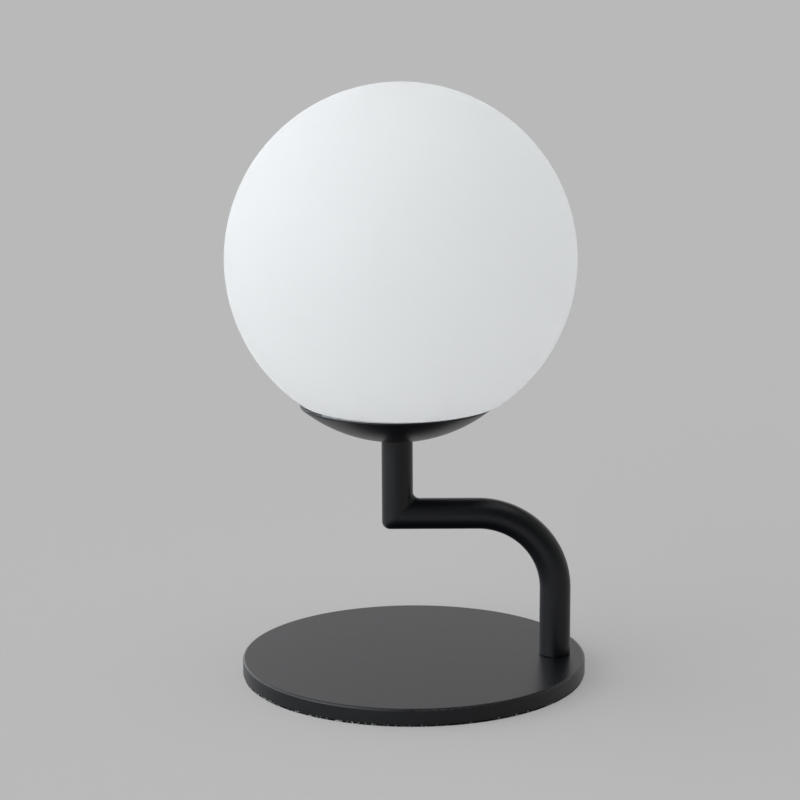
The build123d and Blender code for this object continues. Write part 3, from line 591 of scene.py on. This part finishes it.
@dataclass
class Arm(Assembly):
    """Cranked arm of round tube: up from the foot, round a bend, level to a mitre, and up to the dish."""

    lamp_x: float = field(default_factory=lambda: middle("upper_tube", 0))
    radius: float = TUBE_RADIUS
    wall: float = 1.5
    bend: float = 45.0
    foot_x: float = field(default_factory=lambda: span("bent_arm_tube", 0)[1] - TUBE_RADIUS)
    foot_z: float = field(default_factory=lambda: span("bent_arm_tube", 2)[0])
    level_z: float = field(default_factory=lambda: span("bent_arm_tube", 2)[1] - TUBE_RADIUS)
    foot_chamfer: float = 0.4
    ground_round: float = 4.6
    web: float = 4.1
    least_share: float = 0.02
    corner_reach: float = 26.0
    crowding: float = 1.6
    weld_leg: float = 1.3
    weld_reach: float = 8.0
    dish_centre: float = field(default_factory=lambda: span("bowl", 2)[0] + sqrt(DISH_RADIUS**2 - DISH_HOLE**2))
    around: int = 96
    outer_rings: int = 40
    inner_rings: int = 12
    bend_rings: int = 40

    def soften(self, along: Points, across: Points, half: Points) -> tuple[Points, Points]:
        """Round the mitre in every slice of the two tubes along the arm's width.

        In a slice the corner is square. A point on the outer line at a distance d under R from it goes to
        the arc of radius R at the angle 45 (1 - d / R) degrees, and one on the inner line does the same on
        the web's arc. R shrinks with the slice's half width on the outside, and with its cube on the inside, so
        the web fills only the corner and the seam runs on from it as an edge. The thinnest slices stay square.

        Args:
            along: Distance of each point from the other tube's axis, along its own tube.
            across: Distance from its own tube's axis, in the plane of the arm, negative on the outside.
            half: Half width of the slice.

        Returns:
            The new distances along and across.
        """
        outer = across < 0
        share = np.clip(half / self.radius, 0, 1)
        arc_radius = np.where(outer, self.ground_round * share, self.web * share**3) + 1e-9
        gap = np.where(outer, along + half, along - half)
        near = (gap < arc_radius) & (share > self.least_share)
        turn = np.radians(45) * (1 - np.clip(gap / arc_radius, 0, 1))
        centre = np.where(outer, arc_radius - half, arc_radius + half)
        new_along = np.where(near, centre - arc_radius * np.sin(turn), along)
        new_across = np.where(near, centre - arc_radius * np.cos(turn), across)
        return new_along, new_across

    def mitred_end(self, inside: bool) -> tuple[Points, Points, Points]:
        """Rings of one tube from a square cut at the corner's reach to the mitre: the ring at share s lies at
        reach + s (w - reach) along, where w is its point's place across. Outside, the mitre is rounded.

        Args:
            inside: Whether these are the rings of the tube's bore.

        Returns:
            Distances along the tube, across it in the arm's plane, and across the arm's plane.
        """
        radius = self.radius - self.wall if inside else self.radius
        count = self.inner_rings if inside else self.outer_rings
        angle = ring_angles(self.around)[None, :]
        share = (1 - (1 - np.linspace(0, 1, count)) ** self.crowding)[:, None]
        across = radius * np.cos(angle) + 0 * share
        width = radius * np.sin(angle) + 0 * share
        along = self.corner_reach + share * (across - self.corner_reach)
        if not inside:
            along, across = self.soften(along, across, np.abs(across))
        return along, across, width

    def level_tube(self) -> Points:
        """Closed skin of the bent tube: rings up the leg, round the bend and along to the mitre, and back inside."""
        outer = self.leg_rings(self.radius, self.foot_chamfer)
        inner = self.leg_rings(self.radius - self.wall, 0.0)
        along, across, width = self.mitred_end(inside=False)
        outer_end = np.stack((self.lamp_x + along, width, self.level_z + across), axis=-1)
        along, across, width = self.mitred_end(inside=True)
        inner_end = np.stack((self.lamp_x + along, width, self.level_z + across), axis=-1)
        return np.concatenate((outer, outer_end, inner_end[::-1], inner[::-1]))

    def leg_rings(self, radius: float, chamfer: float) -> Points:
        """Rings square to the path: centre plus radius (cos a n + sin a y), where n is the path's inner normal.

        Args:
            radius: Radius of the rings.
            chamfer: Cut of the lowest edge.

        Returns:
            A grid of points: along the path, then round it.
        """
        turn = np.radians(np.linspace(0, 90, self.bend_rings))
        hub = (self.foot_x - self.bend, self.level_z - self.bend)
        leg = [(self.foot_x, self.foot_z), (self.foot_x, self.foot_z + max(chamfer, 0.1))]
        leg = np.vstack((leg, run(leg[1], (self.foot_x, hub[1]), 6)))
        round_bend = np.column_stack((hub[0] + self.bend * np.cos(turn), hub[1] + self.bend * np.sin(turn)))
        path = np.vstack((leg, round_bend))
        slope = np.concatenate((np.zeros(len(leg)), turn))[:, None]
        radii = np.full((len(path), 1), radius)
        radii[0] -= chamfer
        angle = ring_angles(self.around)[None, :]
        outwards = radii * np.cos(angle)
        x = path[:, 0, None] + outwards * np.cos(slope)
        z = path[:, 1, None] + outwards * np.sin(slope)
        return np.stack((x, radii * np.sin(angle) + 0 * x, z), axis=-1)

    def upright_tube(self) -> Points:
        """Closed skin of the upper tube: from the mitre up to the weld under the dish, and back inside."""
        along, across, width = self.mitred_end(inside=False)
        outer_end = np.stack((self.lamp_x + across, width, self.level_z + along), axis=-1)
        along, across, width = self.mitred_end(inside=True)
        inner_end = np.stack((self.lamp_x + across, width, self.level_z + along), axis=-1)
        leg, bore = self.weld_leg, self.radius - self.wall
        top = ball_height(self.dish_centre, DISH_RADIUS, self.radius + leg)
        bore_top = ball_height(self.dish_centre, DISH_RADIUS, bore)
        straight_end = top - leg - self.weld_reach
        outside = np.vstack((
            [(self.radius, straight_end)],
            arc((self.radius + leg, top - leg), leg, 180, 92, 9),
        ))
        inside = np.array([(bore, bore_top), (bore, straight_end)])
        rings = turned(np.vstack((outside, inside)), self.lamp_x, self.around)
        return np.concatenate((outer_end[::-1], rings, inner_end))

    def build(self) -> None:
        """Make both tubes and dress them and their fixings."""
        bent = skin("bent_tube", self.level_tube(), closed_along=True)
        upright = skin("upright_tube", self.upright_tube(), closed_along=True)
        POWDER_COAT.dress(self.seat(bent, "bent_arm_tube"), self.seat(upright, "upper_tube"))
        self.keep(ZINC_PLATE, "foot_washer", "foot_nut", "foot_plug", "top_plug")
        self.keep(BRASS, "foot_stud")


@dataclass
class Base(Assembly):
    """Round steel plate on a felt pad, with the wiring room's parts under it."""

    pad_radius: float = 99.4
    pad_height: float = 1.2
    fuzz: float = 0.12
    waves: tuple[tuple[int, int, float], ...] = ((37, 1, 1.0), (91, 2, 0.7), (173, -1, 0.6))
    turn_with_height: float = 5.0
    segments: int = 720

    def pad_grid(self) -> Points:
        """Felt disc whose edge wanders: radius plus fuzz times the mean of its waves.

        Each wave is its weight times sin(n a + m t), where n is its number of turns, a the angle, m its lag and t
        a turn that grows with the height.

        Returns:
            A grid of points: over the edge, then round it.
        """
        height = self.pad_height
        profile = np.vstack((
            [(0.0, height)],
            [(self.pad_radius * share, height) for share in (0.5, 0.9)],
            arc((self.pad_radius - 0.3, height - 0.3), 0.3, 90, 0, 4),
            arc((self.pad_radius - 0.25, 0.25), 0.25, 0, -90, 4),
            [(self.pad_radius * share, 0.0) for share in (0.9, 0.5)],
            [(0.0, 0.0)],
        ))
        grid = turned(profile, 0.0, self.segments)
        angle = ring_angles(self.segments)[None, :]
        level = profile[:, 1, None] * self.turn_with_height
        wander = sum(weight * np.sin(turns * angle + lag * level) for turns, lag, weight in self.waves)
        at_edge = profile[:, 0, None] > 0.95 * self.pad_radius
        edge = at_edge * self.fuzz * wander / sum(weight for _, _, weight in self.waves)
        grid[..., 0] += edge * np.cos(angle)
        grid[..., 1] += edge * np.sin(angle)
        return grid

    def build(self) -> None:
        """Make the pad, and dress the plate and what lies in it."""
        FELT.dress(self.seat(skin("felt_pad", self.pad_grid(), closed_along=False), "base_pad"))
        self.keep(POWDER_COAT, "base_plate")
        self.keep(ZINC_PLATE, "wiring_cover", "wiring_cover_screws", "earth_screw")
        self.keep(TINNED_COPPER, "earth_terminal")
        self.keep(RUBBER, "cord_inlet_grommet")
        self.keep(NYLON, "splice_sleeves")
        self.keep(BROWN_LEAD, "live_lead")
        self.keep(BLUE_LEAD, "neutral_lead")


@dataclass
class Lampholder(Assembly):
    """Lampholder on its strap."""

    def build(self) -> None:
        """Dress the strap, its screws, the holder and its contacts."""
        self.keep(ZINC_PLATE, "holder_bracket", "holder_screws")
        self.keep(STEATITE, "holder_body", "holder_cap")
        self.keep(BRASS, "holder_contacts")


@dataclass
class Bulb(Assembly):
    """Capsule bulb with two looped pins."""

    body: str = "bulb"

    def build(self) -> None:
        """Dress the bulb's base, pins, board and cover."""
        self.keep(LAMP_PLASTIC, "bulb_base")
        self.keep(NICKEL_WIRE, "bulb_pins")
        self.keep(FROSTED_COVER, "bulb_cover")
        self.keep(LED_BOARD, "led_board")


# ---------------------------------------------------------------------------------------------
# Studio
# ---------------------------------------------------------------------------------------------


@dataclass(frozen=True)
class SoftBox:
    """Soft patch of light in the surroundings, brightest at its middle and out at its edge."""

    azimuth: float
    elevation: float
    strength: float
    shade: str

    def towards(self) -> tuple[float, float, float]:
        """Direction to its middle: (cos e cos a, cos e sin a, sin e), with a from the right-hand side, counted back."""
        turn, rise = radians(self.azimuth), radians(self.elevation)
        return cos(rise) * cos(turn), cos(rise) * sin(turn), sin(rise)


@dataclass
class Studio:
    """Plain pale floor, soft light and the camera at the photograph's viewing angle.

    Lengths are in metres, the boxes' angles and reach in degrees, and the camera's angles in radians.
    """

    floor_size: float = 60.0
    card_shade: str = "7E7C7C"
    card_glow: float = 0.26
    left_glow: float = 0.7
    left_zone: tuple[float, float] = (0.28, 1.1)
    edge_slope: float = 0.2
    box_reach: float = 42.0
    boxes: tuple[SoftBox, ...] = (
        SoftBox(180, 10, 2.05, "F4FBFF"),
        SoftBox(180, 50, 1.5, "F4FBFF"),
        SoftBox(225, 10, 3.25, "F6FBFF"),
        SoftBox(135, 10, 1.85, "F6FBFF"),
        SoftBox(90, 10, 0.7, "FFFDFF"),
        SoftBox(45, 10, 0.5, "FDFFFB"),
        SoftBox(0, 10, 0.32, "FAFFF4"),
        SoftBox(0, 50, 0.21, "F9FFF8"),
        SoftBox(315, 10, 0.12, "FAFFF8"),
        SoftBox(270, 50, 0.06, "FFFFFF"),
        SoftBox(0, 90, 1.45, "FFFFFF"),
    )
    camera_place: tuple[float, float, float] = (0.0, -1.3541, 0.4423)
    yaw: float = -0.0054
    pitch: float = 0.2041
    roll: float = 0.0052
    lens: float = 108.5

    def floor(self) -> None:
        """Lay a wide level floor of plain matt card. It glows a little, so that shadows stay faint.

        The glow is even round the object and to its right. To the left it rises, by a smooth step of -x - s |y|,
        to a brighter glow, where s is the slope of the zone's edge.
        """
        half = self.floor_size / 2
        mesh = bpy.data.meshes.new("floor")
        mesh.from_pydata([(-half, -half, 0), (half, -half, 0), (half, half, 0), (-half, half, 0)], [], [(0, 1, 2, 3)])
        card = bpy.data.materials.new("pale_matt_card")
        card.use_nodes = True
        tree = card.node_tree
        shader = tree.nodes["Principled BSDF"]
        shader.inputs["Base Color"].default_value = linear(self.card_shade)
        shader.inputs["Roughness"].default_value = 1.0
        shader.inputs["Specular IOR Level"].default_value = 0.0
        shader.inputs["Emission Color"].default_value = (1.0, 1.0, 1.0, 1.0)
        place = add(tree, "ShaderNodeTexCoord", {}, {}).outputs["Object"]
        parts = add(tree, "ShaderNodeSeparateXYZ", {}, {"Vector": place}).outputs
        depth = add(tree, "ShaderNodeMath", {"operation": "ABSOLUTE"}, {0: parts["Y"]}).outputs[0]
        fan = add(tree, "ShaderNodeMath", {"operation": "MULTIPLY"}, {0: depth, 1: -self.edge_slope}).outputs[0]
        aside = add(tree, "ShaderNodeMath", {"operation": "SUBTRACT"}, {0: fan, 1: parts["X"]}).outputs[0]
        near, far = self.left_zone
        step = {"Value": aside, "From Min": near, "From Max": far, "To Min": self.card_glow, "To Max": self.left_glow}
        glow = add(tree, "ShaderNodeMapRange", {"interpolation_type": "SMOOTHSTEP"}, step)
        tree.links.new(glow.outputs["Result"], shader.inputs["Emission Strength"])
        mesh.materials.append(card)
        floor = bpy.data.objects.new("floor", mesh)
        bpy.context.scene.collection.objects.link(floor)

    def surroundings(self) -> None:
        """Light the room: each soft box adds its colour times a smooth step of the cosine of the angle to it."""
        world = bpy.data.worlds.new("studio")
        bpy.context.scene.world = world
        world.use_nodes = True
        tree = world.node_tree
        way = add(tree, "ShaderNodeTexCoord", {}, {}).outputs["Generated"]
        light = None
        for box in self.boxes:
            cosine = add(tree, "ShaderNodeVectorMath", {"operation": "DOT_PRODUCT"}, {0: way, 1: box.towards()})
            patch = add(tree, "ShaderNodeMapRange", {"interpolation_type": "SMOOTHSTEP"}, {
                "Value": cosine.outputs["Value"], "From Min": cos(radians(self.box_reach)), "To Max": box.strength,
            })
            patch = add(tree, "ShaderNodeVectorMath", {"operation": "SCALE"}, {
                0: linear(box.shade)[:3], "Scale": patch.outputs["Result"],
            }).outputs["Vector"]
            if light is not None:
                patch = add(tree, "ShaderNodeVectorMath", {}, {0: light, 1: patch}).outputs["Vector"]
            light = patch
        tree.links.new(light, tree.nodes["Background"].inputs["Color"])

    def camera(self) -> None:
        """Set the camera up: its axes come from yaw about Z, pitch down and roll, in that order."""
        ahead = Vector((sin(self.yaw) * cos(self.pitch), cos(self.yaw) * cos(self.pitch), -sin(self.pitch)))
        right = Vector((cos(self.yaw), -sin(self.yaw), 0.0))
        down = ahead.cross(right)
        image_x = cos(self.roll) * right + sin(self.roll) * down
        image_up = sin(self.roll) * right - cos(self.roll) * down
        data = bpy.data.cameras.new("camera")
        data.sensor_width = 36.0
        data.lens = self.lens
        data.clip_end = 100.0
        camera = bpy.data.objects.new("camera", data)
        axes = Matrix((image_x, image_up, -ahead)).transposed().to_4x4()
        camera.matrix_world = Matrix.Translation(self.camera_place) @ axes
        bpy.context.scene.collection.objects.link(camera)
        bpy.context.scene.camera = camera

    def build(self) -> None:
        """Set the floor, surroundings, camera and view."""
        self.floor()
        self.surroundings()
        self.camera()
        bpy.context.scene.view_settings.view_transform = "Standard"


def main() -> None:
    """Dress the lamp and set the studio."""
    logging.basicConfig(level=logging.INFO, format="%(name)s: %(message)s")
    for part in (Base(), Arm(), Dish(), Lampholder(), Bulb(), Globe(), Studio()):
        part.build()


if __name__ == "__main__":
    main()
